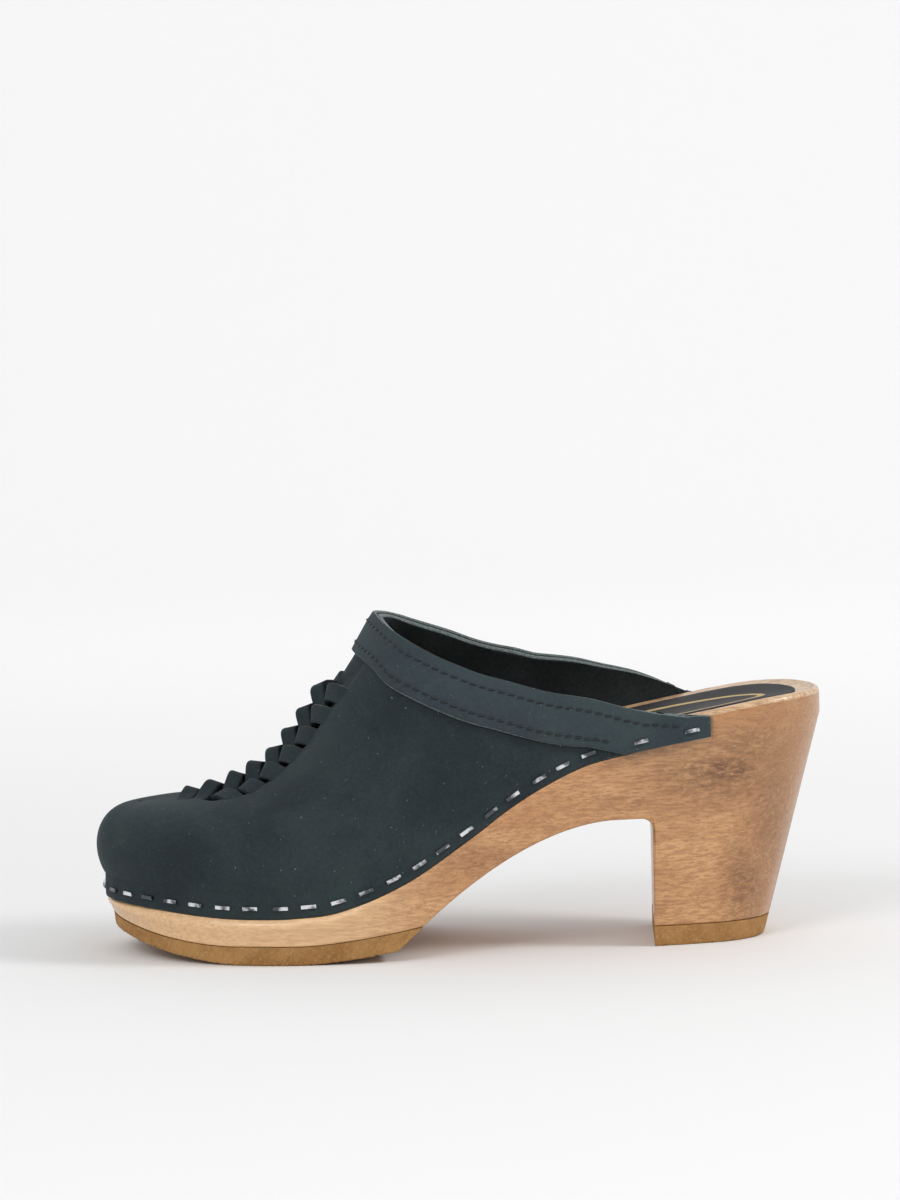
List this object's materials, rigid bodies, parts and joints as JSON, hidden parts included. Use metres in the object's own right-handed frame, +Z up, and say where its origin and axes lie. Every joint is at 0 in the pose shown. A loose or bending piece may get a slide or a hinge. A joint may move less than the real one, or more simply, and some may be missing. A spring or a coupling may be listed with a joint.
{
  "type": "wooden clog",
  "caption": "High-heeled wooden clog for the left foot: carved sole on crepe treads, stapled leather upper with a woven instep and a stitched collar.",
  "frame": {"origin": "on the ground, under the middle of the whole shoe's box", "axes": "+X from toe to heel, +Y towards the inner side of the foot, +Z up"},
  "size_m": [0.2436, 0.0926, 0.1115],
  "materials": {
    "alder": "oiled, satin",
    "crepe": "granular, matt",
    "nubuck": "nubuck, matt",
    "collar_nubuck": "nubuck, matt",
    "suede": "suede, matt",
    "thread": "waxed",
    "stiffener": "matt",
    "steel": "bright"
  },
  "bodies": {
    "root": {"wooden_sole": "alder", "forefoot_tread": "crepe", "heel_tread": "crepe", "heel_sock": "suede", "upper": "nubuck", "toe_puff": "stiffener", "collar_band": "collar_nubuck", "collar_thread_upper": "thread", "collar_thread_lower": "thread", "staple_lateral_01": "steel", "staple_lateral_02": "steel", "staple_lateral_03": "steel", "staple_lateral_04": "steel", "staple_lateral_05": "steel", "staple_lateral_06": "steel", "staple_lateral_07": "steel", "staple_lateral_08": "steel", "staple_lateral_09": "steel", "staple_lateral_10": "steel", "staple_lateral_11": "steel", "staple_lateral_12": "steel", "staple_lateral_13": "steel", "staple_lateral_14": "steel", "staple_lateral_15": "steel", "staple_lateral_16": "steel", "staple_lateral_17": "steel", "staple_lateral_18": "steel", "staple_lateral_19": "steel", "staple_lateral_20": "steel", "staple_lateral_21": "steel", "staple_lateral_22": "steel", "staple_lateral_23": "steel", "staple_medial_01": "steel", "staple_medial_02": "steel", "staple_medial_03": "steel", "staple_medial_04": "steel", "staple_medial_05": "steel", "staple_medial_06": "steel", "staple_medial_07": "steel", "staple_medial_08": "steel", "staple_medial_09": "steel", "staple_medial_10": "steel", "staple_medial_11": "steel", "staple_medial_12": "steel", "staple_medial_13": "steel", "staple_medial_14": "steel", "staple_medial_15": "steel", "staple_medial_16": "steel", "staple_medial_17": "steel", "staple_medial_18": "steel", "staple_medial_19": "steel", "staple_medial_20": "steel", "staple_medial_21": "steel", "staple_medial_22": "steel", "staple_medial_23": "steel"}
  },
  "joints": []
}
